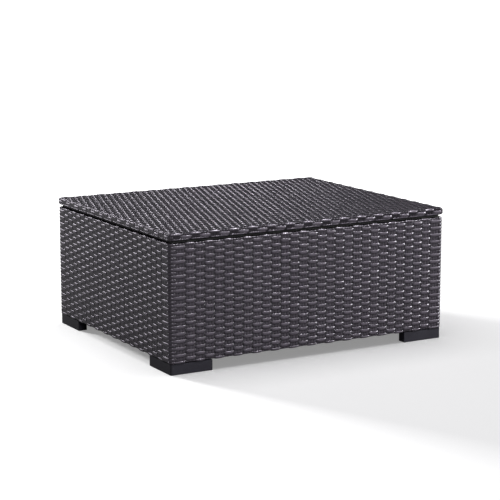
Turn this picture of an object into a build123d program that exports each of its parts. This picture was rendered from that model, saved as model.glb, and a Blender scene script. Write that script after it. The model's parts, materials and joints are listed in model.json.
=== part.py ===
"""A garden coffee table: a woven resin body on a welded tube frame, with a woven top panel
bolted on over a narrow shadow gap, standing on four L-shaped corner feet.

Frame: millimetres, +Z up, +X along the table's length, +Y from the front to the rear.
The origin is on the floor, under the middle of the table.
"""
from build123d import *
import os

# ---- Driving dimensions ------------------------------------------------------------------

# Whole table
table_length = 830
table_depth = 685
table_height = 360
outline_radius = 13

# Levels
foot_height = 28
shadow_gap = 5.5
lid_thickness = 20

# Woven skin
weave_thickness = 4
corner_wrap_length = 30
body_arris_radius = 3.6
lid_arris_radius = 6
lid_lower_arris_radius = 2
lid_lip_depth = 8

# Tubes
tube_width = 20
tube_wall = 1.5
tube_corner_radius = 4
upright_depth = 10
flat_tube_width = 25
flat_tube_depth = 12
flat_tube_wall = 1.2
flat_tube_radius = 2
least_inner_radius = 0.5

# Places of the hidden members
front_upright_x = 137
crossbar_x = 205
lid_bolt_y = 220

# Feet
foot_length = 118
foot_side_length = 118
foot_thickness = 25
foot_inset = 3.5
foot_corner_radius = 5
foot_edge_radius = 1.2
foot_screw_distance = 84

# M6 fixings
m6_radius = 3
m6_clearance_radius = 3.4
rivet_nut_radius = 4.5
rivet_nut_hole_radius = 4.6
rivet_nut_bore_radius = 3.1
rivet_nut_flange_radius = 5.75
rivet_nut_flange_height = 1
rivet_nut_length = 9
flange_recess_radius = 6.25
washer_radius = 8
washer_height = 1.6
screw_head_radius = 6
screw_head_height = 4
screw_socket_radius = 2.4
screw_socket_depth = 2.2
counterbore_radius = 6.75
counterbore_depth = 13
lid_bolt_length = 45
spacer_radius = 10
spacer_recess_depth = 1.4
nut_overlap_margin = 2
drill_margin = 1

# Rubber strips in the shadow gap
seam_strip_inset = 11
seam_strip_width = 8
seam_strip_joint = 1

# ---- Worked-out sizes --------------------------------------------------------------------

half_length = table_length / 2
half_depth = table_depth / 2
body_bottom = foot_height
body_top = table_height - lid_thickness - shadow_gap
frame_bottom = body_bottom + weave_thickness
frame_top = body_top - weave_thickness
frame_height = frame_top - frame_bottom
lid_bottom = table_height - lid_thickness
lid_rail_bottom = lid_bottom + weave_thickness
lid_rail_top = lid_rail_bottom + flat_tube_depth

post_x = half_length - weave_thickness - tube_width / 2
post_y = half_depth - weave_thickness - tube_width / 2
rail_half_length = post_x - tube_width / 2
rail_half_depth = post_y - tube_width / 2
wrap_depth = weave_thickness + tube_width
lid_wrap_depth = weave_thickness + flat_tube_width

foot_screw_points = [
    (sign_x * (half_length - foot_screw_distance), sign_y * post_y)
    for sign_x in (-1, 1)
    for sign_y in (-1, 1)
] + [
    (sign_x * post_x, sign_y * (half_depth - foot_screw_distance))
    for sign_x in (-1, 1)
    for sign_y in (-1, 1)
]
lid_bolt_points = [
    (sign_x * crossbar_x, row_y)
    for sign_x in (-1, 1)
    for row_y in (-lid_bolt_y, 0, lid_bolt_y)
]

corners = {
    "front_left": (-1, -1),
    "front_right": (1, -1),
    "rear_left": (-1, 1),
    "rear_right": (1, 1),
}
sides = ("front", "rear", "left", "right")


def save(piece, name):
    """Label a finished piece and write it to its own file."""
    piece.part.label = name
    export_step(piece.part, f"parts/{name}.step")


def side_points(side, depth):
    """Corner points of the mitred strip along one side of the outline, depth wide."""
    long_x, long_y = half_length, half_depth
    short_x, short_y = half_length - depth, half_depth - depth
    if side in ("front", "rear"):
        sign = -1 if side == "front" else 1
        return [
            (-long_x, sign * long_y),
            (long_x, sign * long_y),
            (short_x, sign * short_y),
            (-short_x, sign * short_y),
        ]
    sign = -1 if side == "left" else 1
    return [
        (sign * long_x, -long_y),
        (sign * long_x, long_y),
        (sign * short_x, short_y),
        (sign * short_x, -short_y),
    ]


# ---- Tubes -------------------------------------------------------------------------------


def rectangular_tube(plane, width, depth, wall, corner_radius, length, holes=()):
    """A hollow tube drawn on plane and run along its normal.

    holes is a list of (point, radius, reach): vertical holes drilled upwards from point.
    """
    with BuildPart() as tube:
        with BuildSketch(plane):
            RectangleRounded(width, depth, corner_radius)
            inner_radius = max(corner_radius - wall, least_inner_radius)
            RectangleRounded(
                width - 2 * wall, depth - 2 * wall, inner_radius, mode=Mode.SUBTRACT
            )
        extrude(amount=length)
        for point, radius, reach in holes:
            with BuildSketch(Plane(origin=point)):
                Circle(radius)
            extrude(amount=reach, mode=Mode.SUBTRACT)
    return tube


def plane_along_x(start_x, centre_y, centre_z):
    """Section plane of a tube that runs along +X, with its width along Y."""
    return Plane(origin=(start_x, centre_y, centre_z), x_dir=(0, 1, 0), z_dir=(1, 0, 0))


def plane_along_y(centre_x, start_y, centre_z):
    """Section plane of a tube that runs along +Y, with its width along X."""
    return Plane(origin=(centre_x, start_y, centre_z), x_dir=(1, 0, 0), z_dir=(0, 1, 0))


def square_tube(plane, length, holes=()):
    """The body frame's 20 mm square tube."""
    return rectangular_tube(
        plane, tube_width, tube_width, tube_wall, tube_corner_radius, length, holes
    )


def corner_post(sign_x, sign_y):
    """Upright tube at one corner, the full height of the body frame."""
    plane = Plane(origin=(sign_x * post_x, sign_y * post_y, frame_bottom))
    return square_tube(plane, frame_height)


def frame_rail(side, centre_z, holes=()):
    """Horizontal tube between two corner posts."""
    if side in ("front", "rear"):
        sign = -1 if side == "front" else 1
        plane = plane_along_x(-rail_half_length, sign * post_y, centre_z)
        return square_tube(plane, 2 * rail_half_length, holes)
    sign = -1 if side == "left" else 1
    plane = plane_along_y(sign * post_x, -rail_half_depth, centre_z)
    return square_tube(plane, 2 * rail_half_depth, holes)


def bottom_rail_holes(side):
    """Holes for the rivet nuts of the foot screws, in the rail's lower wall."""
    along_x = side in ("front", "rear")
    sign = -1 if side in ("front", "left") else 1
    rail_line = sign * (post_y if along_x else post_x)
    points = [
        point
        for point in foot_screw_points
        if abs(point[1 if along_x else 0] - rail_line) < 1
    ]
    start_z = frame_bottom - drill_margin
    reach = tube_wall + 2 * drill_margin
    return [((x, y, start_z), rivet_nut_hole_radius, reach) for x, y in points]


def upright(face, position):
    """Flat tube standing between a bottom rail and a top rail, close behind the weave."""
    length = frame_height - 2 * tube_width
    bottom = frame_bottom + tube_width
    if face in ("front", "rear"):
        sign = -1 if face == "front" else 1
        centre_y = sign * (half_depth - weave_thickness - upright_depth / 2)
        plane = Plane(origin=(position, centre_y, bottom))
    else:
        sign = -1 if face == "left" else 1
        centre_x = sign * (half_length - weave_thickness - upright_depth / 2)
        plane = Plane(origin=(centre_x, position, bottom), x_dir=(0, 1, 0), z_dir=(0, 0, 1))
    return rectangular_tube(
        plane, tube_width, upright_depth, flat_tube_wall, flat_tube_radius, length
    )


def top_crossbar(centre_x):
    """Tube between the long top rails, drilled right through for the lid bolts."""
    centre_z = frame_top - tube_width / 2
    plane = plane_along_y(centre_x, -rail_half_depth, centre_z)
    drill_start = frame_top - tube_width - drill_margin
    reach = tube_width + 2 * drill_margin
    holes = [
        ((centre_x, y, drill_start), m6_clearance_radius, reach)
        for x, y in lid_bolt_points
        if x == centre_x
    ]
    return square_tube(plane, 2 * rail_half_depth, holes)


def lid_rail(side):
    """Flat tube along one side of the lid, mitred and rounded at its ends."""
    centre_z = lid_rail_bottom + flat_tube_depth / 2
    edge_inset = weave_thickness + flat_tube_width / 2
    with BuildPart() as rail:
        if side in ("front", "rear"):
            sign = -1 if side == "front" else 1
            section = plane_along_x(-half_length, sign * (half_depth - edge_inset), centre_z)
            length = table_length
        else:
            sign = -1 if side == "left" else 1
            section = plane_along_y(sign * (half_length - edge_inset), -half_depth, centre_z)
            length = table_depth
        with BuildSketch(section):
            RectangleRounded(flat_tube_width, flat_tube_depth, flat_tube_radius)
            RectangleRounded(
                flat_tube_width - 2 * flat_tube_wall,
                flat_tube_depth - 2 * flat_tube_wall,
                flat_tube_radius - flat_tube_wall,
                mode=Mode.SUBTRACT,
            )
        extrude(amount=length)
        with BuildSketch(Plane.XY.offset(lid_rail_bottom)):
            RectangleRounded(
                table_length - 2 * weave_thickness,
                table_depth - 2 * weave_thickness,
                tube_corner_radius,
            )
            Polygon(*side_points(side, lid_wrap_depth), align=None, mode=Mode.INTERSECT)
        extrude(amount=flat_tube_depth, mode=Mode.INTERSECT)
    return rail


def lid_crossbar(centre_x):
    """Flat tube between the long lid rails, drilled below for the rivet nuts."""
    half_span = half_depth - lid_wrap_depth
    plane = plane_along_y(centre_x, -half_span, lid_rail_bottom + flat_tube_depth / 2)
    drill_start = lid_rail_bottom - drill_margin
    reach = flat_tube_wall + 2 * drill_margin
    holes = [
        ((centre_x, y, drill_start), rivet_nut_hole_radius, reach)
        for x, y in lid_bolt_points
        if x == centre_x
    ]
    return rectangular_tube(
        plane,
        flat_tube_width,
        flat_tube_depth,
        flat_tube_wall,
        flat_tube_radius,
        2 * half_span,
        holes,
    )


# ---- Woven skin of the body --------------------------------------------------------------


def weave_face(side):
    """Flat woven face between two corner wraps, from the bottom rail to the top rail."""
    with BuildPart() as face:
        with BuildSketch(Plane.XY.offset(frame_bottom)):
            if side in ("front", "rear"):
                sign = -1 if side == "front" else 1
                with Locations((0, sign * (half_depth - weave_thickness / 2))):
                    Rectangle(table_length - 2 * corner_wrap_length, weave_thickness)
            else:
                sign = -1 if side == "left" else 1
                with Locations((sign * (half_length - weave_thickness / 2), 0)):
                    Rectangle(weave_thickness, table_depth - 2 * corner_wrap_length)
        extrude(amount=frame_height)
    return face


def corner_wrap(sign_x, sign_y):
    """Strands wound round a corner post, without interlacing."""
    with BuildPart() as wrap:
        with BuildSketch(Plane.XY.offset(frame_bottom)):
            RectangleRounded(table_length, table_depth, outline_radius)
            RectangleRounded(
                table_length - 2 * weave_thickness,
                table_depth - 2 * weave_thickness,
                tube_corner_radius,
                mode=Mode.SUBTRACT,
            )
            centre = (
                sign_x * (half_length - corner_wrap_length / 2),
                sign_y * (half_depth - corner_wrap_length / 2),
            )
            with Locations(centre):
                Rectangle(corner_wrap_length, corner_wrap_length, mode=Mode.INTERSECT)
        extrude(amount=frame_height)
    return wrap


def top_wrap(side):
    """Weave turned over a top rail, its outer arris rounded, mitred at the corners."""
    with BuildPart() as wrap:
        with BuildSketch(Plane.XY.offset(frame_top)):
            RectangleRounded(table_length, table_depth, outline_radius)
        extrude(amount=weave_thickness)
        fillet(wrap.faces().sort_by(Axis.Z)[-1].edges(), body_arris_radius)
        with BuildSketch(Plane.XY.offset(frame_top)):
            Polygon(*side_points(side, wrap_depth), align=None)
        extrude(amount=weave_thickness, mode=Mode.INTERSECT)
    return wrap


def bottom_wrap(side):
    """Weave turned under a bottom rail, with clearance holes for the rivet nuts."""
    with BuildPart() as wrap:
        with BuildSketch(Plane.XY.offset(body_bottom)):
            RectangleRounded(table_length, table_depth, outline_radius)
        extrude(amount=weave_thickness)
        fillet(wrap.faces().sort_by(Axis.Z)[0].edges(), body_arris_radius)
        with BuildSketch(Plane.XY.offset(body_bottom)):
            Polygon(*side_points(side, wrap_depth), align=None)
            with Locations(*foot_screw_points):
                Circle(flange_recess_radius, mode=Mode.SUBTRACT)
        extrude(amount=weave_thickness, mode=Mode.INTERSECT)
    return wrap


# ---- Woven top panel ---------------------------------------------------------------------


def lid_weave():
    """Flat woven field of the top, inside the edge wraps."""
    with BuildPart() as field:
        with BuildSketch(Plane.XY.offset(lid_rail_top)):
            RectangleRounded(
                table_length - 2 * lid_lip_depth,
                table_depth - 2 * lid_lip_depth,
                outline_radius - lid_lip_depth,
            )
        extrude(amount=weave_thickness)
    return field


def lid_edge_wrap(side):
    """Strands that go over, down and under one lid rail, mitred at the corners."""
    with BuildPart() as wrap:
        with BuildSketch(Plane.XY.offset(lid_bottom)):
            RectangleRounded(table_length, table_depth, outline_radius)
        extrude(amount=lid_thickness)
        fillet(wrap.faces().sort_by(Axis.Z)[-1].edges(), lid_arris_radius)
        fillet(wrap.faces().sort_by(Axis.Z)[0].edges(), lid_lower_arris_radius)
        with BuildSketch(Plane.XY.offset(lid_rail_top)):
            RectangleRounded(
                table_length - 2 * lid_lip_depth,
                table_depth - 2 * lid_lip_depth,
                outline_radius - lid_lip_depth,
            )
        extrude(amount=weave_thickness, mode=Mode.SUBTRACT)
        with BuildSketch(Plane.XY.offset(lid_rail_bottom)):
            RectangleRounded(
                table_length - 2 * weave_thickness,
                table_depth - 2 * weave_thickness,
                tube_corner_radius,
            )
        extrude(amount=flat_tube_depth, mode=Mode.SUBTRACT)
        with BuildSketch(Plane.XY.offset(lid_bottom)):
            Polygon(*side_points(side, lid_wrap_depth), align=None)
        extrude(amount=lid_thickness, mode=Mode.INTERSECT)
    return wrap


# ---- Feet --------------------------------------------------------------------------------


def foot(sign_x, sign_y):
    """L-shaped moulded corner foot, with one counterbored screw hole in each arm."""
    outer_x = half_length - foot_inset
    outer_y = half_depth - foot_inset
    end_x = outer_x - foot_length
    end_y = outer_y - foot_side_length
    inner_x = outer_x - foot_thickness
    inner_y = outer_y - foot_thickness
    outline = [
        (outer_x, outer_y),
        (end_x, outer_y),
        (end_x, inner_y),
        (inner_x, inner_y),
        (inner_x, end_y),
        (outer_x, end_y),
    ]
    screw_points = [
        (sign_x * (half_length - foot_screw_distance), sign_y * post_y),
        (sign_x * post_x, sign_y * (half_depth - foot_screw_distance)),
    ]
    with BuildPart() as block:
        with BuildSketch(Plane.XY):
            with BuildLine():
                Polyline(*[(sign_x * x, sign_y * y) for x, y in outline], close=True)
            make_face()
        extrude(amount=foot_height)
        upright_edges = block.edges().filter_by(Axis.Z)
        outer_edge = upright_edges.sort_by_distance((sign_x * outer_x, sign_y * outer_y))[0]
        fillet(outer_edge, foot_corner_radius)
        fillet(block.faces().sort_by(Axis.Z)[0].edges(), foot_edge_radius)
        for x, y in screw_points:
            with Locations(Plane(origin=(x, y, 0), z_dir=(0, 0, -1))):
                CounterBoreHole(
                    m6_clearance_radius, counterbore_radius, counterbore_depth, foot_height
                )
    return block


def foot_screws():
    """Socket-head screws up through the feet into the bottom rails."""
    head_bottom = counterbore_depth - screw_head_height
    shank_top = frame_bottom + rivet_nut_length - nut_overlap_margin
    with BuildPart() as screws:
        with BuildSketch(Plane.XY.offset(head_bottom)):
            with Locations(*foot_screw_points):
                Circle(screw_head_radius)
        extrude(amount=screw_head_height)
        with BuildSketch(Plane.XY.offset(counterbore_depth)):
            with Locations(*foot_screw_points):
                Circle(m6_radius)
        extrude(amount=shank_top - counterbore_depth)
        with BuildSketch(Plane.XY.offset(head_bottom)):
            with Locations(*foot_screw_points):
                RegularPolygon(screw_socket_radius, 6)
        extrude(amount=screw_socket_depth, mode=Mode.SUBTRACT)
    return screws


def rivet_nuts(points, seat_z):
    """Flanged rivet nuts set upwards into a tube wall whose lower face is at seat_z."""
    with BuildPart() as nuts:
        with BuildSketch(Plane.XY.offset(seat_z - rivet_nut_flange_height)):
            with Locations(*points):
                Circle(rivet_nut_flange_radius)
        extrude(amount=rivet_nut_flange_height)
        with BuildSketch(Plane.XY.offset(seat_z)):
            with Locations(*points):
                Circle(rivet_nut_radius)
        extrude(amount=rivet_nut_length)
        with BuildSketch(Plane.XY.offset(seat_z - rivet_nut_flange_height)):
            with Locations(*points):
                Circle(rivet_nut_bore_radius)
        extrude(amount=rivet_nut_length + rivet_nut_flange_height, mode=Mode.SUBTRACT)
    return nuts


# ---- Fixings of the top ------------------------------------------------------------------


def lid_spacers():
    """Rubber sleeves that hold the top clear of the body, recessed over the nut flanges."""
    with BuildPart() as spacers:
        with BuildSketch(Plane.XY.offset(frame_top)):
            with Locations(*lid_bolt_points):
                Circle(spacer_radius)
                Circle(m6_clearance_radius, mode=Mode.SUBTRACT)
        extrude(amount=lid_rail_bottom - frame_top)
        with BuildSketch(Plane.XY.offset(lid_rail_bottom - spacer_recess_depth)):
            with Locations(*lid_bolt_points):
                Circle(flange_recess_radius)
        extrude(amount=spacer_recess_depth, mode=Mode.SUBTRACT)
    return spacers


def lid_washers():
    """Plain washers under the lid bolt heads, against the crossbars."""
    with BuildPart() as washers:
        with BuildSketch(Plane.XY.offset(frame_top - tube_width - washer_height)):
            with Locations(*lid_bolt_points):
                Circle(washer_radius)
                Circle(m6_clearance_radius, mode=Mode.SUBTRACT)
        extrude(amount=washer_height)
    return washers


def lid_bolts():
    """Hexagon bolts up through the crossbars and spacers into the lid's rivet nuts."""
    seat_z = frame_top - tube_width - washer_height
    with BuildPart() as bolts:
        with BuildSketch(Plane.XY.offset(seat_z - screw_head_height)):
            with Locations(*lid_bolt_points):
                RegularPolygon(screw_head_radius, 6)
        extrude(amount=screw_head_height)
        with BuildSketch(Plane.XY.offset(seat_z)):
            with Locations(*lid_bolt_points):
                Circle(m6_radius)
        extrude(amount=lid_bolt_length)
    return bolts


def seam_strips():
    """Four rubber strips that close the shadow gap a little way in from the outline."""
    outer_x = half_length - seam_strip_inset
    outer_y = half_depth - seam_strip_inset
    side_length = 2 * (outer_y - seam_strip_width - seam_strip_joint)
    with BuildPart() as strips:
        with BuildSketch(Plane.XY.offset(body_top)):
            with Locations((0, -outer_y), (0, outer_y - seam_strip_width)):
                Rectangle(2 * outer_x, seam_strip_width, align=(Align.CENTER, Align.MIN))
            with Locations((-outer_x, 0), (outer_x - seam_strip_width, 0)):
                Rectangle(seam_strip_width, side_length, align=(Align.MIN, Align.CENTER))
        extrude(amount=shadow_gap)
    return strips


# ---- The table ---------------------------------------------------------------------------

os.makedirs("parts", exist_ok=True)

for corner, (sign_x, sign_y) in corners.items():
    save(corner_post(sign_x, sign_y), f"corner_post_{corner}")
    save(corner_wrap(sign_x, sign_y), f"corner_wrap_{corner}")
    save(foot(sign_x, sign_y), f"foot_{corner}")

for side in sides:
    save(frame_rail(side, frame_top - tube_width / 2), f"top_rail_{side}")
    bottom_rail = frame_rail(side, frame_bottom + tube_width / 2, bottom_rail_holes(side))
    save(bottom_rail, f"bottom_rail_{side}")
    save(weave_face(side), f"weave_{side}")
    save(top_wrap(side), f"top_wrap_{side}")
    save(bottom_wrap(side), f"bottom_wrap_{side}")
    save(lid_rail(side), f"lid_rail_{side}")
    save(lid_edge_wrap(side), f"lid_edge_wrap_{side}")

for face in ("front", "rear"):
    save(upright(face, -front_upright_x), f"upright_{face}_left")
    save(upright(face, front_upright_x), f"upright_{face}_right")
for face in ("left", "right"):
    save(upright(face, 0), f"upright_{face}")

for label, sign_x in (("left", -1), ("right", 1)):
    save(top_crossbar(sign_x * crossbar_x), f"top_crossbar_{label}")
for label, sign_x in (("left", -1), ("middle", 0), ("right", 1)):
    save(lid_crossbar(sign_x * crossbar_x), f"lid_crossbar_{label}")

save(lid_weave(), "lid_weave")
save(foot_screws(), "foot_screws")
save(rivet_nuts(foot_screw_points, frame_bottom), "foot_rivet_nuts")
save(rivet_nuts(lid_bolt_points, lid_rail_bottom), "lid_rivet_nuts")
save(lid_spacers(), "lid_spacers")
save(lid_washers(), "lid_washers")
save(lid_bolts(), "lid_bolts")
save(seam_strips(), "seam_strips")
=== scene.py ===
"""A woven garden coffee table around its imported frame: every strand of the weave is modelled.

Lengths are in metres, in the frame of the CAD model: +X along the table, +Y to the rear, +Z up.
"""
import json
import math

import bpy
import numpy as np
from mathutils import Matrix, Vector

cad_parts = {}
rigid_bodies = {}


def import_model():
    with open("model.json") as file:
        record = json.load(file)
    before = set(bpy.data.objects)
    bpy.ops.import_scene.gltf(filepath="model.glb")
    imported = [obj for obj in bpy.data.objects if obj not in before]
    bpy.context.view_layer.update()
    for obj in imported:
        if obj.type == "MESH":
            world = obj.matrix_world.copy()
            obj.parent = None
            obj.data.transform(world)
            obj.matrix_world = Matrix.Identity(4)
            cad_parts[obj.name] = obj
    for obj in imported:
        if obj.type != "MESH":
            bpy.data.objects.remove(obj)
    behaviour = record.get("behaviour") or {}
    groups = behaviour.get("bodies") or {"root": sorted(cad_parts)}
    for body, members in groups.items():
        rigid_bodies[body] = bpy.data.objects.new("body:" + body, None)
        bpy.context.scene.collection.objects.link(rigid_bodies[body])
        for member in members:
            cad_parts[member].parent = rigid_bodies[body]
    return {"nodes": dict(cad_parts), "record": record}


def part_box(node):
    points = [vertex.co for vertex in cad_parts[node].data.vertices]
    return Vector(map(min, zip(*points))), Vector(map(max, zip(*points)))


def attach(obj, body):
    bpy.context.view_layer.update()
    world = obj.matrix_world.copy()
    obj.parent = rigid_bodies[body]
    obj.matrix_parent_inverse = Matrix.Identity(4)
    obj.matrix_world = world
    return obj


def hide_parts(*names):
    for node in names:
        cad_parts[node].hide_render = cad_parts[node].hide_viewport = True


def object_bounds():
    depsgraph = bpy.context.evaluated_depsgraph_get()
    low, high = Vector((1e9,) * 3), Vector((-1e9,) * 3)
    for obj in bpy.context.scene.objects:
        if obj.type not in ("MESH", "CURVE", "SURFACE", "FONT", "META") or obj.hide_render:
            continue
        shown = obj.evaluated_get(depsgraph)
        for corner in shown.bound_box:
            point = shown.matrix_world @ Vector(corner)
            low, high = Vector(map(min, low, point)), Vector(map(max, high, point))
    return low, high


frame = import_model()
cad_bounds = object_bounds()

# ---- Sizes read from the frame -----------------------------------------------------------

low, high = cad_bounds
HALF_X = (high.x - low.x) / 2
HALF_Y = (high.y - low.y) / 2
BODY_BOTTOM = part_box("bottom_wrap_front")[0].z
BODY_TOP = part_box("top_wrap_front")[1].z
LID_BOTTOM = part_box("lid_edge_wrap_front")[0].z
LID_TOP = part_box("lid_edge_wrap_front")[1].z
SKIN = BODY_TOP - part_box("top_wrap_front")[0].z
TUBE_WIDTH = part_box("top_rail_front")[1].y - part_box("top_rail_front")[0].y
LID_TUBE_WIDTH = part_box("lid_rail_front")[1].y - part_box("lid_rail_front")[0].y

# ---- Sizes of the weave ------------------------------------------------------------------

PLAN_RADIUS = 0.013
BODY_ARRIS = 0.0042
LID_UPPER_ARRIS = 0.006
LID_LOWER_ARRIS = 0.0026

STRAND_PITCH = 0.00907
STRAND_WIDTH = 0.0089
STRAND_THICKNESS = 0.0020
STRAND_EDGE = 0.0005
STAKE_WIDTH = 0.0085
STAKE_PITCH = 0.0088
STAKE_THICKNESS = 0.0011
STAKE_EDGE = 0.0006
STAKES_PER_BUNDLE = 3

# A strand's section is domed outside by a power curve and flat below.
DOME_PLACES = (-1.0, -0.9, -0.68, -0.36, 0.0, 0.36, 0.68, 0.9, 1.0)
DOME_POWER = 2.4
FLAT_SHARE = 0.86

# A strand's height is that of its underside over the skin's middle: 0 where it floats over
# a bundle and -2 * WAVE_DEPTH behind one, where it is also pressed flatter.
WAVE_DEPTH = 0.00095
WAVE_SHARPNESS = 1.7
PRESSED = 0.5
STAKE_SEAT = -0.0013
STAKE_SWAY = 0.00015
BUNDLE_DROP = 0.0006
# STAKE_CREST and its swing set how much of the painted crest light a stake takes: lighter where it
# comes forward, darker, as painted shade, where it is pressed back.
STAKE_CREST = 0.45
STAKE_CREST_SWING = 0.15

# Past the last bundle of a side, a row levels off for the corner, over a stretch that is
# given in bundles, and goes round it at one height.
LEVELLING_START = 0.3
LEVELLING_LENGTH = 0.35
CORNER_WAVE = 0.6

# Seeded unevenness: how far a strand rises over a bundle, then shifts and twists.
SWELL_MEAN = 0.97
SWELL_SPREAD = 0.05
SWELL_LEAST = 0.8
ROW_WANDER = 0.00022
ROW_TWIST = 0.03
STAKE_SHIFT = 0.00008
LID_STRAND_SHIFT = 0.00012

# Bundles of stakes along each side, and where they end: the body's last one is centred
# END_BUNDLE from the corner, and the lid's field stops at its margins.
FRONT_BUNDLES = 29
SIDE_BUNDLES = 24
END_BUNDLE = 0.031
LID_FRONT_BUNDLES = 30
LID_SIDE_BUNDLES = 25
LID_X_MARGIN = 0.0065
LID_Y_MARGIN = 0.004

ROWS_PER_PIECE = 7
LIP_ROWS = 2
LID_PIECES = 3

# The three rows round the lid's edge, and the seat of the lid's strands under them.
LID_TOP_ROW_DROP = 0.0004
LID_ROW_STEP = 0.0083
LID_RIM_WIDTH = 0.93
BINDING_HEIGHT = 0.75
BINDING_DIP = 1.1
BINDING_DIP_REACH = 0.2
RIM_START = 0.0055
RIM_RAMP = 0.0075
RIM_SEAT = -0.0008
RIM_SWAY = 0.0003
RIM_THICKNESS = 0.0012
ARRIS_CLEARANCE = 0.0065

# Stations over one bundle, in bundles, and in one corner; none is nearer than LEAST_STEP to
# where a corner starts.
STEPS_IN_BUNDLE = (-0.5, -0.42, -0.34, -0.2, 0.0, 0.2, 0.34, 0.42)
CORNER_STEPS = 8
LEAST_STEP = 0.001

# The direction along each side, and the outward one.
SIDES = {
    "front": ((1, 0), (0, -1)),
    "right": ((0, 1), (1, 0)),
    "rear": ((-1, 0), (0, 1)),
    "left": ((0, -1), (-1, 0)),
}
LONG_SIDES = ("front", "rear")

rng = np.random.default_rng(20)


# ---- Meshes ------------------------------------------------------------------------------


class MeshStore:
    """Strands gathered into one mesh, with lengthwise UVs and a tone for each strand."""

    def __init__(self):
        self.points = []
        self.quads = []
        self.caps = []
        self.quad_uvs = []
        self.cap_uvs = []
        self.tones = []
        self.crests = []
        self.count = 0

    def add_strand(self, grid, crest, closed):
        """grid is (stations, section points, 3); crest is one height per station, 0 to 1."""
        stations, section, _ = grid.shape
        index = np.arange(stations * section).reshape(stations, section) + self.count
        following = np.roll(index, -1, axis=0) if closed else index[1:]
        current = index if closed else index[:-1]
        quads = np.stack(
            [
                current,
                np.roll(current, -1, axis=1),
                np.roll(following, -1, axis=1),
                following,
            ],
            axis=-1,
        )
        centre = grid.mean(axis=1)
        steps = np.linalg.norm(np.diff(centre, axis=0, append=centre[:1]), axis=1)
        along = np.concatenate([[0.0], np.cumsum(steps)])
        ring = grid[0]
        around_steps = np.linalg.norm(np.roll(ring, -1, axis=0) - ring, axis=1)
        around = np.concatenate([[0.0], np.cumsum(around_steps)])
        shift = rng.uniform(0, 10, 2)
        rows = np.arange(len(quads))
        u0 = np.broadcast_to(along[rows][:, None], quads.shape[:2]) + shift[0]
        u1 = np.broadcast_to(along[rows + 1][:, None], quads.shape[:2]) + shift[0]
        v0 = np.broadcast_to(around[:-1][None, :], quads.shape[:2]) + shift[1]
        v1 = np.broadcast_to(around[1:][None, :], quads.shape[:2]) + shift[1]
        uvs = np.stack(
            [
                np.stack([u0, v0], -1),
                np.stack([u0, v1], -1),
                np.stack([u1, v1], -1),
                np.stack([u1, v0], -1),
            ],
            axis=2,
        )
        self.points.append(grid.reshape(-1, 3))
        self.quads.append(quads.reshape(-1, 4))
        self.quad_uvs.append(uvs.reshape(-1, 2))
        if not closed:
            self.caps.append(index[0][::-1])
            self.caps.append(index[-1])
            for _ in range(2):
                self.cap_uvs.append(np.tile(shift, (section, 1)))
        self.tones.append(np.full(stations * section, rng.uniform()))
        self.crests.append(np.repeat(crest, section))
        self.count += stations * section

    def make(self, name, material, replaces):
        """Turn the gathered strands into one piece that rides on the table."""
        quads = np.concatenate(self.quads)
        sizes = [len(cap) for cap in self.caps]
        corners = np.concatenate([quads.ravel(), *self.caps]) if sizes else quads.ravel()
        loop_totals = np.concatenate([np.full(len(quads), 4), np.array(sizes, int)])
        loop_starts = np.concatenate([[0], np.cumsum(loop_totals)[:-1]])
        mesh = bpy.data.meshes.new(name)
        mesh.vertices.add(self.count)
        mesh.vertices.foreach_set("co", np.concatenate(self.points).astype(np.float32).ravel())
        mesh.loops.add(len(corners))
        mesh.loops.foreach_set("vertex_index", corners.astype(np.int32))
        mesh.polygons.add(len(loop_totals))
        mesh.polygons.foreach_set("loop_start", loop_starts.astype(np.int32))
        smooth = np.ones(len(loop_totals), bool)
        smooth[len(quads):] = False
        mesh.update(calc_edges=True)
        mesh.polygons.foreach_set("use_smooth", smooth)
        uvs = np.concatenate([*self.quad_uvs, *self.cap_uvs]).astype(np.float32)
        mesh.uv_layers.new(name="strand").data.foreach_set("uv", uvs.ravel())
        tone = mesh.attributes.new("tone", "FLOAT", "POINT")
        tone.data.foreach_set("value", np.concatenate(self.tones).astype(np.float32))
        crest = mesh.attributes.new("crest", "FLOAT", "POINT")
        crest.data.foreach_set("value", np.concatenate(self.crests).astype(np.float32))
        mesh.materials.append(material)
        piece = bpy.data.objects.new(name, mesh)
        bpy.context.scene.collection.objects.link(piece)
        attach(piece, "root")
        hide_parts(*replaces)


def crowned_section(width, thickness, edge):
    """Section of a strand as (across, out) points: domed outside, flat below."""
    half = width / 2
    places = np.array(DOME_PLACES)
    dome = edge + (thickness - edge) * (1 - np.abs(places) ** DOME_POWER)
    top = np.stack([places * half, dome], axis=1)
    below = np.array([(half * FLAT_SHARE, 0.0), (-half * FLAT_SHARE, 0.0)])
    return np.concatenate([top, below])


WEFT_SECTION = crowned_section(STRAND_WIDTH, STRAND_THICKNESS, STRAND_EDGE)
STAKE_SECTION = crowned_section(STAKE_WIDTH, STAKE_THICKNESS, STAKE_EDGE)


# ---- Woven skin round a ring of tubes ----------------------------------------------------


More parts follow.
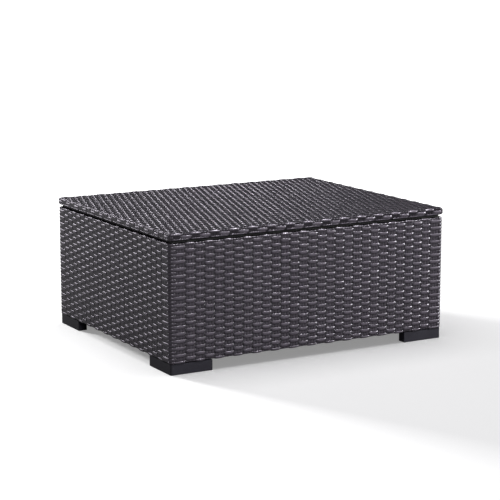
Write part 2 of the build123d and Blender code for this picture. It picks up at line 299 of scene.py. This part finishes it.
class Skin:
    """The mid surface of a skin wrapped under, up and over a ring of tubes.

    A point on it has t, the distance up the wrapped profile from its lower inner end, and
    a height off the surface.
    """

    def __init__(self, bottom, top, lower_arris, upper_arris, tube_width):
        self.top = top
        self.half = SKIN / 2
        self.lower_bend = lower_arris - self.half
        self.upper_bend = upper_arris - self.half
        self.lower_lip = SKIN + tube_width - lower_arris
        self.upper_lip = SKIN + tube_width - upper_arris
        self.lower_arc = self.lower_bend * math.pi / 2
        self.upper_arc = self.upper_bend * math.pi / 2
        self.face_start = self.lower_lip + self.lower_arc
        self.face_foot = bottom + lower_arris
        self.face_height = top - bottom - lower_arris - upper_arris
        self.face_end = self.face_start + self.face_height
        self.length = self.face_end + self.upper_arc + self.upper_lip
        self.lower_middle = self.lower_lip + self.lower_arc / 2
        self.upper_middle = self.face_end + self.upper_arc / 2

    def profile(self, t):
        """Inset from the outline, height z and the tilt of the normal, at each t."""
        t = np.asarray(t, float)
        lower = np.clip((t - self.lower_lip) / self.lower_arc, 0, 1)
        upper = np.clip((t - self.face_end) / self.upper_arc, 0, 1)
        tilt = (lower - 1 + upper) * math.pi / 2
        bend = np.where(tilt < 0, self.lower_bend, self.upper_bend)
        beyond_lower = np.clip(self.lower_lip - t, 0, None)
        beyond_upper = np.clip(t - self.face_end - self.upper_arc, 0, None)
        inset = self.half + bend * (1 - np.cos(tilt)) + beyond_lower + beyond_upper
        climb = np.clip(t - self.face_start, 0, self.face_height)
        z = self.face_foot + climb + bend * np.sin(tilt)
        return inset, z, tilt


def steps_over(centres, pitch):
    """Stations over a row of bundles, closer together where a strand dives between them."""
    return (centres[:, None] + pitch * np.array(STEPS_IN_BUNDLE)[None, :]).ravel()


def side_frame(name):
    """Plan direction along a side, its outward direction, its half length and its distance."""
    run, out = np.array(SIDES[name], float)
    half, distance = (HALF_X, HALF_Y) if name in LONG_SIDES else (HALF_Y, HALF_X)
    return run, out, half, distance


class Outline:
    """Stations round the table's plan outline, and what a row of the weave does at each.

    anchors and normals place a station, and bundles counts the bundles up to it from the
    front's first. waves is the row's height over them, 1 to -1, and blends says how far the
    station belongs to a corner, 0 to 1.
    """

    def __init__(self, long_bundles, short_bundles, long_margin, short_margin):
        groups = []
        start = 0
        first = 0
        self.pitch = {}
        self.stations = {}
        for name in SIDES:
            run, out, half, distance = side_frame(name)
            count = long_bundles if name in LONG_SIDES else short_bundles
            margin = long_margin if name in LONG_SIDES else short_margin
            pitch = (2 * half - 2 * margin) / (count - 1)
            centres = -half + margin + pitch * np.arange(count)
            side = self.side_group(run, out, half, distance, centres, pitch, first)
            corner_place = (half - PLAN_RADIUS) * run + (distance - PLAN_RADIUS) * out
            corner = self.corner_group(run, out, corner_place, first + count - 0.5)
            groups += [side, corner]
            self.pitch[name] = pitch
            self.stations[name] = slice(start, start + len(side[0]))
            start += len(side[0]) + len(corner[0])
            first += count
        columns = [np.concatenate(column) for column in zip(*groups)]
        self.anchors, self.normals, self.waves, self.blends, self.bundles = columns
        self.bundle_count = first

    @staticmethod
    def side_group(run, out, half, distance, centres, pitch, first):
        """Stations along one side, from corner to corner."""
        limit = half - PLAN_RADIUS
        steps = steps_over(centres, pitch)
        steps = steps[np.abs(steps) < limit - LEAST_STEP]
        steps = np.concatenate([[-limit], steps, [centres[-1] + pitch * 0.5], [limit]])
        steps = np.unique(np.clip(steps, -limit, limit))
        last = len(centres) - 1
        phase = (steps - centres[0]) / pitch
        past_end = np.maximum(-phase, phase - last)
        anchors = steps[:, None] * run + (distance - PLAN_RADIUS) * out
        normals = np.tile(out, (len(steps), 1))
        waves = np.cos(math.pi * np.clip(phase, 0, last)) * (-1.0) ** first
        blends = smoothstep((past_end - LEVELLING_START) / LEVELLING_LENGTH)
        bundles = first + np.clip(phase, 0, last)
        return anchors, normals, waves, blends, bundles

    @staticmethod
    def corner_group(run, out, place, bundle):
        """Stations round the corner at the end of a side; only their normals differ."""
        turns = np.arange(1, CORNER_STEPS) / CORNER_STEPS * math.pi / 2
        count = len(turns)
        normals = np.outer(np.cos(turns), out) + np.outer(np.sin(turns), run)
        anchors = np.tile(place, (count, 1))
        return anchors, normals, np.zeros(count), np.ones(count), np.full(count, bundle)


def smoothstep(x):
    """Smooth 0 to 1 ramp."""
    x = np.clip(x, 0, 1)
    return x * x * (3 - 2 * x)


def flattened(wave):
    """A cosine wave with flatter crests and steeper flanks."""
    return np.tanh(WAVE_SHARPNESS * wave) / math.tanh(WAVE_SHARPNESS)


def binding_wave(bundles):
    """A strand that lies over everything, with a short dip at every second bundle."""
    place = (bundles + 0.5) % 2
    gap = np.minimum(place, 2 - place)
    return BINDING_HEIGHT - BINDING_DIP * (1 - smoothstep(gap / BINDING_DIP_REACH))


def uneven_swells(count):
    """How far a strand rises over each of its bundles, as a share of the full height."""
    return np.clip(rng.normal(SWELL_MEAN, SWELL_SPREAD, count), SWELL_LEAST, 1)


def pressed_share(wave):
    """A strand's thickness as a share of the full one: it is pressed flatter behind a bundle."""
    return (1 + PRESSED) / 2 + (1 - PRESSED) / 2 * wave


def stake_sway(across, half_width):
    """How far a stake sways in and out, and drops towards the edges of its bundle."""
    return STAKE_SWAY + BUNDLE_DROP * (np.abs(across) / half_width) ** 3


def woven_strand(store, skin, outline, t_row, wave, width=1.0, side=None):
    """A strand round the whole outline, closed on itself, or along one side only."""
    knots = np.arange(outline.bundle_count + 1)
    swell = np.interp(outline.bundles, knots, uneven_swells(len(knots)))
    wander = np.interp(outline.bundles, knots, rng.normal(0, ROW_WANDER, len(knots)))
    twist = np.interp(outline.bundles, knots, rng.normal(0, ROW_TWIST, len(knots)))
    wave = (1 - outline.blends) * wave * swell + outline.blends * CORNER_WAVE
    underside = WAVE_DEPTH * (wave - 1)
    across = WEFT_SECTION[:, 0][None, :] * width
    out = WEFT_SECTION[:, 1][None, :] * pressed_share(wave)[:, None] + across * twist[:, None]
    t = t_row + across + wander[:, None]
    inset, z, tilt = skin.profile(t)
    rise = np.minimum(underside[:, None] + out, skin.half)
    inset = inset - rise * np.cos(tilt)
    z = z + rise * np.sin(tilt)
    reach = PLAN_RADIUS - inset
    plan = outline.anchors[:, None, :] + outline.normals[:, None, :] * reach[..., None]
    grid = np.concatenate([plan, z[..., None]], axis=-1)
    crest = np.clip((wave + 1) / 2, 0, 1)
    if side:
        stations = outline.stations[side]
        store.add_strand(grid[stations], crest[stations], closed=False)
    else:
        store.add_strand(grid, crest, closed=True)


def stake_profile_steps(skin, pitch):
    """Values of t up a stake, closer together round the two arrises."""
    lower_turn = np.linspace(skin.lower_lip, skin.face_start, 5)
    upper_turn = np.linspace(skin.face_end, skin.face_end + skin.upper_arc, 5)
    lower_lips = np.array([0.0, skin.lower_lip * 0.5])
    upper_lips = skin.length - np.array([0.0, skin.upper_lip * 0.5])
    face = np.arange(skin.face_start + pitch / 3, skin.face_end - pitch / 4, pitch / 2)
    return np.unique(np.concatenate([lower_lips, lower_turn, face, upper_turn, upper_lips]))


def stake_bundles(store, skin, side, outline, margin, rows, first_bundle):
    """The stakes of one side: bundles of flat strands under, up and over the tubes."""
    run, out, half, distance = side_frame(side)
    pitch = outline.pitch[side]
    count = round((2 * half - 2 * margin) / pitch) + 1
    t_steps = stake_profile_steps(skin, STRAND_PITCH)
    inset, z, tilt = skin.profile(t_steps)
    row_pitch = rows[1] - rows[0]
    for bundle in range(count):
        centre = -half + margin + bundle * pitch
        parity = (-1.0) ** (first_bundle + bundle)
        row_wave = np.cos(math.pi * (t_steps - rows[0]) / row_pitch) * parity
        for place in range(STAKES_PER_BUNDLE):
            offset = (place - (STAKES_PER_BUNDLE - 1) / 2) * STAKE_PITCH
            across = STAKE_SECTION[:, 0][None, :] + offset + rng.normal(0, STAKE_SHIFT)
            sway = stake_sway(across, pitch / 2)
            height = STAKE_SEAT - row_wave[:, None] * sway + STAKE_SECTION[:, 1][None, :]
            reach = distance - inset[:, None] + height * np.cos(tilt)[:, None]
            heights = z[:, None] + height * np.sin(tilt)[:, None]
            plan = (centre + across)[..., None] * run + reach[..., None] * out
            grid = np.concatenate([plan, heights[..., None]], axis=-1)
            crest = STAKE_CREST - STAKE_CREST_SWING * row_wave
            store.add_strand(grid, np.clip(crest, 0, 1), closed=False)


# ---- Materials ---------------------------------------------------------------------------

# Grooves are noise that is far finer across a strand than along it. A strand is painted towards
# a lighter colour on its crests, up to a share, as its height goes through a range: painted light
# on the crests and painted shade in the hollows.
GROOVE_SCALE = (45.0, 1900.0, 1.0)
PAINTED_CREST_LIGHT = (0.076, 0.0668, 0.0819)
CREST_RANGE = (0.45, 1.0)
PAINTED_CREST_SHARE = 0.75
RESIN_ROUGHNESS = (0.20, 0.30)
NOISE_RANGE = (0.3, 0.7)
BROAD_SCALE = 22.0


def new_material(name):
    """A node material with one Principled shader, with its node tree and the shader."""
    material = bpy.data.materials.new(name)
    material.use_nodes = True
    nodes = material.node_tree.nodes
    nodes.clear()
    shader = nodes.new("ShaderNodeBsdfPrincipled")
    output = nodes.new("ShaderNodeOutputMaterial")
    material.node_tree.links.new(shader.outputs["BSDF"], output.inputs["Surface"])
    return material, material.node_tree, shader


def colour_mix(nodes, blend_type="MIX"):
    """A mix node for colours, whose sockets are Factor, A, B and Result."""
    mix = nodes.new("ShaderNodeMix")
    mix.data_type = "RGBA"
    mix.blend_type = blend_type
    return mix


def map_range(nodes, source, target):
    """A node that maps the range source, a (least, most) pair, to the range target."""
    ranges = nodes.new("ShaderNodeMapRange")
    ranges.inputs["From Min"].default_value, ranges.inputs["From Max"].default_value = source
    ranges.inputs["To Min"].default_value, ranges.inputs["To Max"].default_value = target
    return ranges


def noise(nodes, scale, detail):
    """A noise texture node."""
    texture = nodes.new("ShaderNodeTexNoise")
    texture.inputs["Scale"].default_value = scale
    texture.inputs["Detail"].default_value = detail
    return texture


def resin_material(name, dark, light):
    """Extruded flat resin strand: fine lengthwise grooves, satin sheen, painted shade in its
    hollows.

    dark and light bound the colour of the low parts, one tone for each strand, and the low parts
    stay darker as painted shade; the crests are painted lighter, as painted light.
    """
    material, tree, shader = new_material(name)
    nodes, links = tree.nodes, tree.links
    uv = nodes.new("ShaderNodeUVMap")
    uv.uv_map = "strand"
    stretch = nodes.new("ShaderNodeMapping")
    stretch.inputs["Scale"].default_value = GROOVE_SCALE
    grooves = noise(nodes, 1.0, 3.0)
    grooves.inputs["Roughness"].default_value = 0.6
    tone = nodes.new("ShaderNodeAttribute")
    tone.attribute_name = "tone"
    crest = nodes.new("ShaderNodeAttribute")
    crest.attribute_name = "crest"
    strand_colour = nodes.new("ShaderNodeValToRGB")
    strand_colour.color_ramp.elements[0].color = (*dark, 1)
    strand_colour.color_ramp.elements[1].color = (*light, 1)
    groove_colour = colour_mix(nodes, "MULTIPLY")
    groove_colour.inputs["Factor"].default_value = 0.35
    # Painted light: the colour is mixed towards a lighter one on the crests; the low parts keep the
    # darker colour as painted shade.
    painted_crest_mix = colour_mix(nodes)
    painted_crest_mix.inputs["B"].default_value = (*PAINTED_CREST_LIGHT, 1)
    painted_crest_share = map_range(nodes, CREST_RANGE, (0.0, PAINTED_CREST_SHARE))
    rough = map_range(nodes, NOISE_RANGE, RESIN_ROUGHNESS)
    bump = nodes.new("ShaderNodeBump")
    bump.inputs["Strength"].default_value = 0.35
    bump.inputs["Distance"].default_value = 0.0001
    links.new(uv.outputs["UV"], stretch.inputs["Vector"])
    links.new(stretch.outputs["Vector"], grooves.inputs["Vector"])
    links.new(tone.outputs["Fac"], strand_colour.inputs["Fac"])
    links.new(strand_colour.outputs["Color"], groove_colour.inputs["A"])
    links.new(grooves.outputs["Color"], groove_colour.inputs["B"])
    links.new(crest.outputs["Fac"], painted_crest_share.inputs["Value"])
    links.new(painted_crest_share.outputs["Result"], painted_crest_mix.inputs["Factor"])
    links.new(groove_colour.outputs["Result"], painted_crest_mix.inputs["A"])
    links.new(painted_crest_mix.outputs["Result"], shader.inputs["Base Color"])
    links.new(grooves.outputs["Fac"], rough.inputs["Value"])
    links.new(rough.outputs["Result"], shader.inputs["Roughness"])
    links.new(grooves.outputs["Fac"], bump.inputs["Height"])
    links.new(bump.outputs["Normal"], shader.inputs["Normal"])
    shader.inputs["Specular IOR Level"].default_value = 0.5
    shader.inputs["Specular Tint"].default_value = (0.94, 0.88, 1.0, 1)
    return material


def speckled_material(name, dark, light, roughness, grain, depth, metallic=0.0, gloss=0.5):
    """A moulded, coated or plated surface: broad mottle in colour, fine grain in relief."""
    material, tree, shader = new_material(name)
    nodes, links = tree.nodes, tree.links
    place = nodes.new("ShaderNodeTexCoord")
    fine = noise(nodes, grain, 4.0)
    broad = noise(nodes, BROAD_SCALE, 3.0)
    colour = nodes.new("ShaderNodeValToRGB")
    for stop, position, tone in zip(colour.color_ramp.elements, NOISE_RANGE, (dark, light)):
        stop.position = position
        stop.color = (*tone, 1)
    rough = map_range(nodes, NOISE_RANGE, roughness)
    bump = nodes.new("ShaderNodeBump")
    bump.inputs["Strength"].default_value = 0.4
    bump.inputs["Distance"].default_value = depth
    links.new(place.outputs["Object"], fine.inputs["Vector"])
    links.new(place.outputs["Object"], broad.inputs["Vector"])
    links.new(broad.outputs["Fac"], colour.inputs["Fac"])
    links.new(colour.outputs["Color"], shader.inputs["Base Color"])
    links.new(fine.outputs["Fac"], rough.inputs["Value"])
    links.new(rough.outputs["Result"], shader.inputs["Roughness"])
    links.new(fine.outputs["Fac"], bump.inputs["Height"])
    links.new(bump.outputs["Normal"], shader.inputs["Normal"])
    shader.inputs["Metallic"].default_value = metallic
    shader.inputs["Specular IOR Level"].default_value = gloss
    return material


# Colours are (dark, light) pairs of one resin in lit and shaded copies: the strands dive into
# shade and are painted darkest, as painted shade, the stakes lie flatter and are painted lighter,
# and the rows round the lid's edge are painted lightest and most even, as painted light.
resin = resin_material("resin_strand", (0.0110, 0.0097, 0.0119), (0.0190, 0.0167, 0.0205))
rim_resin = resin_material("resin_rim", (0.0400, 0.0352, 0.0434), (0.0550, 0.0484, 0.0597))
stake_resin = resin_material("resin_stake", (0.0250, 0.0221, 0.0271), (0.0410, 0.0362, 0.0444))
powder_coat = speckled_material(
    "frame_powder_coat", (0.022, 0.020, 0.020), (0.032, 0.029, 0.029), (0.38, 0.52), 900, 0.0002
)
foot_plastic = speckled_material(
    "foot_plastic", (0.0135, 0.0125, 0.0180), (0.0190, 0.0180, 0.0245), (0.42, 0.55), 1500, 0.00008,
    gloss=0.28,
)
rubber = speckled_material(
    "spacer_rubber", (0.012, 0.012, 0.012), (0.02, 0.02, 0.02), (0.7, 0.85), 1200, 0.0001
)
zinc = speckled_material(
    "zinc_steel", (0.48, 0.49, 0.50), (0.62, 0.63, 0.64), (0.28, 0.42), 1500, 0.00003,
    metallic=1.0,
)

slot_materials = {
    "frame_powder_coat": powder_coat,
    "foot_plastic": foot_plastic,
    "spacer_rubber": rubber,
    "zinc_steel": zinc,
    "woven_resin": resin,
}
for subpart in frame["record"]["subparts"]:
    node = frame["nodes"][subpart["node"]]
    node.data.materials.clear()
    node.data.materials.append(slot_materials[subpart["material_slot"]])

# ---- Body weave --------------------------------------------------------------------------

body_skin = Skin(BODY_BOTTOM, BODY_TOP, BODY_ARRIS, BODY_ARRIS, TUBE_WIDTH)
body_outline = Outline(FRONT_BUNDLES, SIDE_BUNDLES, END_BUNDLE, END_BUNDLE)
row_span = body_skin.upper_middle - body_skin.lower_middle
row_count = round(row_span / STRAND_PITCH) + 1
body_rows = np.linspace(body_skin.lower_middle, body_skin.upper_middle, row_count)
body_wave = flattened(body_outline.waves)

corner_names = ("front_left", "front_right", "rear_left", "rear_right")
side_names = ("front", "rear", "left", "right")
for start in range(0, row_count, ROWS_PER_PIECE):
    store = MeshStore()
    for row in range(start, min(start + ROWS_PER_PIECE, row_count)):
        wave = body_wave * (-1.0) ** row
        woven_strand(store, body_skin, body_outline, body_rows[row], wave)
    stands_for = [f"corner_wrap_{name}" for name in corner_names]
    stands_for += [f"weave_{name}" for name in side_names]
    store.make(f"body_wefts_{start // ROWS_PER_PIECE + 1}", resin, stands_for)

store = MeshStore()
for row in range(1, LIP_ROWS + 1):
    wave = body_wave * (-1.0) ** row
    for side in side_names:
        t_row = body_skin.lower_middle - row * STRAND_PITCH
        woven_strand(store, body_skin, body_outline, t_row, wave, side=side)
store.make("body_lip_wefts", resin, [f"bottom_wrap_{name}" for name in side_names])

first_of_side = {
    "front": 0,
    "right": FRONT_BUNDLES,
    "rear": FRONT_BUNDLES + SIDE_BUNDLES,
    "left": 2 * FRONT_BUNDLES + SIDE_BUNDLES,
}
for side in side_names:
    store = MeshStore()
    stake_bundles(
        store, body_skin, side, body_outline, END_BUNDLE, body_rows, first_of_side[side]
    )
    stands_for = [f"weave_{side}", f"top_wrap_{side}", f"bottom_wrap_{side}"]
    store.make(f"body_stakes_{side}", stake_resin, stands_for)

# ---- Lid weave ---------------------------------------------------------------------------

lid_skin = Skin(LID_BOTTOM, LID_TOP, LID_LOWER_ARRIS, LID_UPPER_ARRIS, LID_TUBE_WIDTH)
lid_x_pitch = 2 * (HALF_X - LID_X_MARGIN) / LID_FRONT_BUNDLES
lid_y_pitch = 2 * (HALF_Y - LID_Y_MARGIN) / LID_SIDE_BUNDLES
lid_x_margin = LID_X_MARGIN + lid_x_pitch / 2
lid_y_margin = LID_Y_MARGIN + lid_y_pitch / 2
lid_outline = Outline(LID_FRONT_BUNDLES, LID_SIDE_BUNDLES, lid_x_margin, lid_y_margin)
lid_wave = flattened(lid_outline.waves)
top_row = lid_skin.upper_middle - LID_TOP_ROW_DROP
lid_rows = (top_row, top_row - LID_ROW_STEP, top_row - 2 * LID_ROW_STEP)
lid_row_waves = (lid_wave, -lid_wave, binding_wave(lid_outline.bundles))

store = MeshStore()
for t_row, wave in zip(lid_rows, lid_row_waves):
    woven_strand(store, lid_skin, lid_outline, t_row, wave, LID_RIM_WIDTH)
store.make("lid_rim_strands", rim_resin, [f"lid_edge_wrap_{name}" for name in side_names])


def lid_path(half, field_steps):
    """Stations of a strand right across the lid: under, up, over the top, down, under.

    Returns the plan coordinate along the strand, z, the tilt of the normal from upright,
    the skin's t at each end (the field has that of the upper lip), and how far the station
    belongs to the rim, 0 to 1.
    """
    turn = np.concatenate(
        [
            [0.0, lid_skin.lower_lip * 0.5],
            np.linspace(lid_skin.lower_lip, lid_skin.face_start, 3),
            np.linspace(lid_skin.face_start, lid_skin.face_end, 6)[1:-1],
            np.linspace(lid_skin.face_end, lid_skin.face_end + lid_skin.upper_arc, 6),
        ]
    )
    inset, z, tilt = lid_skin.profile(turn)
    near = -(half - inset)
    top_z = np.full(len(field_steps), lid_skin.top - lid_skin.half)
    along = np.concatenate([near, field_steps, -near[::-1]])
    height = np.concatenate([z, top_z, z[::-1]])
    from_upright = tilt - math.pi / 2
    tilts = np.concatenate([from_upright, np.zeros(len(field_steps)), -from_upright[::-1]])
    field_t = np.full(len(field_steps), turn[-1])
    t = np.concatenate([turn, field_t, turn[::-1]])
    in_field = smoothstep((half - np.abs(along) - RIM_START) / RIM_RAMP)
    rim = np.where(tilts == 0, 1 - in_field, 1.0)
    return along, height, tilts, t, rim


def lid_strand(store, runs_along, position, half, field_steps, field, parities, section):
    """A strand across the whole lid.

    field gives (underside height, thickness share) in the field; at the rim the strand
    lies under or over the rim rows with the other two of its bundle. parities holds 1 or
    -1 for its two ends: 1 where the top rim row floats over it.
    """
    along, z, tilts, t, rim = lid_path(half, field_steps)
    across = position + section[:, 0][None, :]
    underside, share = field(along[:, None], across)
    parity = np.where(along < 0, parities[0], parities[1])
    top_wave = np.cos(math.pi * (t - top_row) / LID_ROW_STEP) * parity
    rim_underside = (RIM_SEAT - RIM_SWAY * top_wave)[:, None]
    rim_share = RIM_THICKNESS / section[:, 1].max()
    underside = underside * (1 - rim[:, None]) + rim_underside * rim[:, None]
    share = share * (1 - rim[:, None]) + rim_share * rim[:, None]
    lift = underside + section[:, 1][None, :] * share
    along_grid = along[:, None] + lift * np.sin(tilts)[:, None]
    z_grid = z[:, None] + lift * np.cos(tilts)[:, None]
    across_grid = np.broadcast_to(across, along_grid.shape)
    pair = [along_grid, across_grid] if runs_along == "x" else [across_grid, along_grid]
    grid = np.stack([*pair, z_grid], axis=-1)
    if runs_along == "y":
        grid = grid[:, ::-1]
    crest = np.clip((underside.mean(axis=1) / WAVE_DEPTH + 2) / 2, 0, 1)
    store.add_strand(grid, crest, closed=False)


field_half_x = HALF_X - LID_X_MARGIN
field_half_y = HALF_Y - LID_Y_MARGIN
strand_step = lid_x_pitch / STAKES_PER_BUNDLE
stake_step = lid_y_pitch / STAKES_PER_BUNDLE
lid_strand_count = LID_FRONT_BUNDLES * STAKES_PER_BUNDLE
lid_stake_count = LID_SIDE_BUNDLES * STAKES_PER_BUNDLE
bundle_centres = -field_half_y + lid_y_pitch * (np.arange(LID_SIDE_BUNDLES) + 0.5)
long_steps = steps_over(bundle_centres, lid_y_pitch)
long_steps = long_steps[np.abs(long_steps) < HALF_Y - ARRIS_CLEARANCE]
cross_steps = -field_half_x + strand_step * (np.arange(2 * lid_strand_count) / 2 + 0.25)
cross_steps = cross_steps[np.abs(cross_steps) < HALF_X - ARRIS_CLEARANCE]

for part in range(LID_PIECES):
    store = MeshStore()
    share = lid_strand_count // LID_PIECES
    for number in range(part * share, (part + 1) * share):
        x = -field_half_x + strand_step * (number + 0.5)
        x += rng.normal(0, LID_STRAND_SHIFT)
        swells = uneven_swells(LID_SIDE_BUNDLES)
        sign = (-1.0) ** number

        def weft_field(along, across, sign=sign, swells=swells):
            phase = (along + field_half_y) / lid_y_pitch - 0.5
            wave = flattened(np.cos(math.pi * phase)) * sign
            wave = wave * np.interp(phase, np.arange(LID_SIDE_BUNDLES), swells)
            return WAVE_DEPTH * (wave - 1), pressed_share(wave)

        parity = (-1.0) ** (number // STAKES_PER_BUNDLE)
        parities = (parity, parity)
        lid_strand(store, "y", x, HALF_Y, long_steps, weft_field, parities, WEFT_SECTION)
    store.make(f"lid_wefts_{part + 1}", resin, ["lid_weave"])

for part in range(LID_PIECES):
    store = MeshStore()
    share = lid_stake_count // LID_PIECES
    for number in range(part * share, (part + 1) * share):
        y = -field_half_y + stake_step * (number + 0.5)
        bundle = number // STAKES_PER_BUNDLE
        middle = bundle_centres[bundle]

        def stake_field(along, across, bundle=bundle, middle=middle):
            count = (along + field_half_x) / strand_step - 0.5
            wave = np.cos(math.pi * (count + bundle))
            sway = stake_sway(across - middle, lid_y_pitch / 2)
            return STAKE_SEAT - wave * sway, np.ones_like(wave)

        parities = (-((-1.0) ** bundle), (-1.0) ** bundle)
        lid_strand(store, "x", y, HALF_X, cross_steps, stake_field, parities, STAKE_SECTION)
    store.make(f"lid_stakes_{part + 1}", resin, ["lid_weave"])

# ---- Floor, light and camera -------------------------------------------------------------

# The camera sees a white floor with a painted glow: a little near the table, which lifts its
# shadows, and more from the first of the two distances to the second; the table is lit by a greyer
# one.
FLOOR_HALF_SIZE = 30.0
FLOOR_BOUNCE = 0.30
FLOOR_WHITE = 0.86
GLOW_DISTANCES = (1.3, 2.8)
GLOW_STRENGTHS = (0.27, 1.05)
ROOM_COLOUR = (0.93, 0.92, 1.0, 1)
ROOM_STRENGTH = 0.13
BACKDROP_STRENGTH = 1.1
LIGHT_TARGET = (0, 0, 0.2)
LILAC = (0.97, 0.93, 1.0)
LID_TOP_NAMES = ("lid_wefts", "lid_stakes")
CAMERA_PLACE = (-2.249, -3.948, 1.074)
CAMERA_LOOKS_DOWN = 10.57  # degrees
CAMERA_TURNED = 29.77  # degrees, clockwise from the rear
CAMERA_LENS = 120.8


def make_floor():
    """A plain white studio floor with a painted glow, which grows more and more into its far
    distance.

    Only what the camera sees of it is white: to the table it's a grey floor, so that
    little light is thrown up on the sides.
    """
    size = FLOOR_HALF_SIZE
    mesh = bpy.data.meshes.new("floor")
    corners = [(-size, -size, 0), (size, -size, 0), (size, size, 0), (-size, size, 0)]
    mesh.from_pydata(corners, [], [(0, 1, 2, 3)])
    material, tree, shader = new_material("floor_paper")
    nodes, links = tree.nodes, tree.links
    seen = nodes.new("ShaderNodeLightPath")
    colour = colour_mix(nodes)
    colour.inputs["A"].default_value = (FLOOR_BOUNCE, FLOOR_BOUNCE, FLOOR_BOUNCE, 1)
    colour.inputs["B"].default_value = (FLOOR_WHITE, FLOOR_WHITE, FLOOR_WHITE, 1)
    links.new(seen.outputs["Is Camera Ray"], colour.inputs["Factor"])
    links.new(colour.outputs["Result"], shader.inputs["Base Color"])
    place = nodes.new("ShaderNodeTexCoord")
    distance = nodes.new("ShaderNodeVectorMath")
    distance.operation = "LENGTH"
    links.new(place.outputs["Object"], distance.inputs[0])
    glow = map_range(nodes, GLOW_DISTANCES, GLOW_STRENGTHS)
    glow.interpolation_type = "SMOOTHSTEP"
    links.new(distance.outputs["Value"], glow.inputs["Value"])
    seen_glow = nodes.new("ShaderNodeMath")
    seen_glow.operation = "MULTIPLY"
    links.new(glow.outputs["Result"], seen_glow.inputs[0])
    links.new(seen.outputs["Is Camera Ray"], seen_glow.inputs[1])
    shader.inputs["Emission Color"].default_value = (1, 1, 1, 1)
    links.new(seen_glow.outputs["Value"], shader.inputs["Emission Strength"])
    shader.inputs["Roughness"].default_value = 0.9
    shader.inputs["Specular IOR Level"].default_value = 0.0
    mesh.materials.append(material)
    floor = bpy.data.objects.new("floor", mesh)
    bpy.context.scene.collection.objects.link(floor)
    return floor


def area_light(name, place, size, power, colour=(1, 1, 1)):
    """A soft rectangular light at place, turned to the table."""
    data = bpy.data.lights.new(name, "AREA")
    data.shape = "RECTANGLE"
    data.size, data.size_y = size
    data.energy = power
    data.color = colour
    light = bpy.data.objects.new(name, data)
    light.location = place
    direction = np.array(LIGHT_TARGET, float) - np.array(place, float)
    yaw = math.atan2(direction[0], direction[1])
    pitch = math.atan2(-direction[2], math.hypot(direction[0], direction[1]))
    light.rotation_euler = (math.pi / 2 - pitch, 0, -yaw)
    bpy.context.scene.collection.objects.link(light)
    return light


def light_only(lights, things):
    """These lights reach these things and nothing else."""
    reached = bpy.data.collections.new("reached")
    for thing in things:
        reached.objects.link(thing)
    for light in lights:
        light.light_linking.receiver_collection = reached


def flag_off(lights, things):
    """These lights are flagged off these things, as with black cards in a studio."""
    shaded = bpy.data.collections.new("shaded")
    for thing in things:
        shaded.objects.link(thing)
    for member in shaded.collection_objects:
        member.light_linking.link_state = "EXCLUDE"
    for light in lights:
        light.light_linking.receiver_collection = shaded


def make_world():
    """White behind the table, with a dim grey room round it."""
    world = bpy.data.worlds.new("studio")
    world.use_nodes = True
    nodes, links = world.node_tree.nodes, world.node_tree.links
    room = nodes["Background"]
    room.inputs["Color"].default_value = ROOM_COLOUR
    room.inputs["Strength"].default_value = ROOM_STRENGTH
    backdrop = nodes.new("ShaderNodeBackground")
    backdrop.inputs["Color"].default_value = (1, 1, 1, 1)
    backdrop.inputs["Strength"].default_value = BACKDROP_STRENGTH
    seen = nodes.new("ShaderNodeLightPath")
    mix = nodes.new("ShaderNodeMixShader")
    links.new(seen.outputs["Is Camera Ray"], mix.inputs["Fac"])
    links.new(room.outputs["Background"], mix.inputs[1])
    links.new(backdrop.outputs["Background"], mix.inputs[2])
    links.new(mix.outputs["Shader"], nodes["World Output"].inputs["Surface"])
    bpy.context.scene.world = world


def make_camera():
    """Camera at the photograph's angle: long lens, a little above the lid."""
    data = bpy.data.cameras.new("camera")
    data.sensor_width = 36
    data.lens = CAMERA_LENS
    data.clip_end = 100
    camera = bpy.data.objects.new("camera", data)
    camera.location = CAMERA_PLACE
    tilt = math.radians(90 - CAMERA_LOOKS_DOWN)
    camera.rotation_euler = (tilt, 0, math.radians(-CAMERA_TURNED))
    bpy.context.scene.collection.objects.link(camera)
    bpy.context.scene.camera = camera


floor = make_floor()
make_world()

# The floor has lights of its own, so that its shadows and the table's tones are set apart.
floor_lights = [
    area_light("floor_key", (-2.6, 6.5, 2.35), (1.3, 0.8), 620),
    area_light("floor_wash", (0, 0, 4.5), (4.5, 4.5), 150),
]
table_lights = [
    area_light("rear_far", (1.1, 6.0, 3.8), (0.8, 0.6), 38, LILAC),
    area_light("rear_left_high", (-1.1, 5.6, 3.1), (0.5, 0.5), 25, LILAC),
    area_light("rear_strip", (-1.9, 4.4, 1.3), (3.6, 0.6), 72, LILAC),
    area_light("overhead", (1.1, -0.5, 3.0), (0.8, 0.8), 48),
    area_light("fill_front", (-1.5, -4.0, 2.3), (1.0, 1.0), 88),
]
side_lights = [
    area_light("front_right", (3.2, -1.9, 1.3), (0.8, 0.8), 124),
    area_light("rim", (1.4, -1.5, 2.75), (0.4, 0.4), 122),
]
lid_top = [thing for thing in bpy.data.objects if thing.name.startswith(LID_TOP_NAMES)]
light_only(floor_lights, [floor])
flag_off(table_lights, [floor])
flag_off(side_lights, [floor, *lid_top])
bpy.context.scene.view_settings.view_transform = "Standard"
make_camera()
